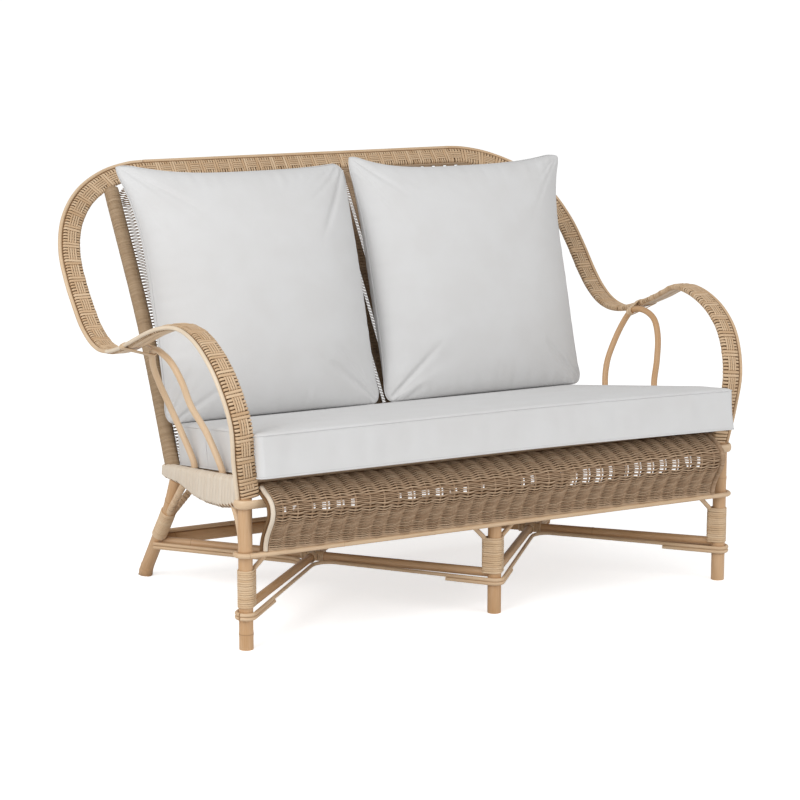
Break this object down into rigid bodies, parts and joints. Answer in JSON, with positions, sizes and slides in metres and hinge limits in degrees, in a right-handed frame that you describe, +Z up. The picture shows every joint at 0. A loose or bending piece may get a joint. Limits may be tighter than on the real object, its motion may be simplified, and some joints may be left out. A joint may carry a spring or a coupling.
{
  "type": "garden sofa",
  "caption": "Low rattan garden sofa with a bent pole frame, woven apron and back, flowing woven armrests that run into the top rail, and loose cushions.",
  "frame": {"origin": "middle of the footprint's bounding box, on the floor", "axes": "+X to the sitter's left, along the seat; +Y to the back; +Z up"},
  "size_m": [1.3514, 0.9786, 0.916],
  "materials": {
    "pole": "semi-gloss",
    "thin_rod": "semi-gloss",
    "wrapped_cane": "satin",
    "woven_reed": "matt",
    "band_cane": "satin",
    "binding_cane": "satin",
    "cushion_cloth": "matt"
  },
  "bodies": {
    "frame": {"apron_border_left": "thin_rod", "apron_border_right": "thin_rod", "apron_bottom_rail": "thin_rod", "apron_weave": "woven_reed", "arch_binding_left": "binding_cane", "arch_binding_right": "binding_cane", "arm_arch_left": "thin_rod", "arm_arch_right": "thin_rod", "arm_band_left": "band_cane", "arm_band_right": "band_cane", "back_panel": "woven_reed", "back_post_left": "wrapped_cane", "back_post_right": "wrapped_cane", "back_strand": "thin_rod", "back_stretcher": "pole", "bearer_left": "pole", "bearer_right": "pole", "cross_half_left_back": "pole", "cross_half_left_front": "pole", "cross_half_right_back": "pole", "cross_half_right_front": "pole", "cross_pole_left": "pole", "cross_pole_right": "pole", "crossing_binding_left": "binding_cane", "crossing_binding_right": "binding_cane", "deck_front_pole": "pole", "front_leg_left": "pole", "front_leg_middle": "pole", "front_leg_right": "pole", "front_rail": "pole", "front_strand": "thin_rod", "leg_brace_left": "thin_rod", "leg_brace_right": "thin_rod", "leg_winding_left": "binding_cane", "leg_winding_middle": "binding_cane", "leg_winding_right": "binding_cane", "middle_brace_left": "thin_rod", "middle_brace_right": "thin_rod", "rear_back_brace_left": "wrapped_cane", "rear_back_brace_right": "wrapped_cane", "rear_leg_left": "pole", "rear_leg_right": "pole", "rear_rail": "pole", "rear_side_brace_left": "wrapped_cane", "rear_side_brace_right": "wrapped_cane", "rear_winding_left": "binding_cane", "rear_winding_right": "binding_cane", "seat_deck": "woven_reed", "side_brace_left": "thin_rod", "side_brace_right": "thin_rod", "side_rail_left": "wrapped_cane", "side_rail_right": "wrapped_cane", "side_strand_left": "thin_rod", "side_strand_right": "thin_rod", "top_rail": "band_cane"},
    "seat_cushion": {"seat_cushion": "cushion_cloth"},
    "back_cushion_left": {"back_cushion_left": "cushion_cloth"},
    "back_cushion_right": {"back_cushion_right": "cushion_cloth"}
  },
  "joints": [
    {"name": "seat_cushion_lift", "type": "slide", "parent": "frame", "child": "seat_cushion", "axis": [0, 0, 1], "range_m": [0, 0.15]},
    {"name": "back_cushion_left_lift", "type": "slide", "parent": "seat_cushion", "child": "back_cushion_left", "axis": [0, 0, 1], "range_m": [0, 0.25]},
    {"name": "back_cushion_right_lift", "type": "slide", "parent": "seat_cushion", "child": "back_cushion_right", "axis": [0, 0, 1], "range_m": [0, 0.25]}
  ]
}
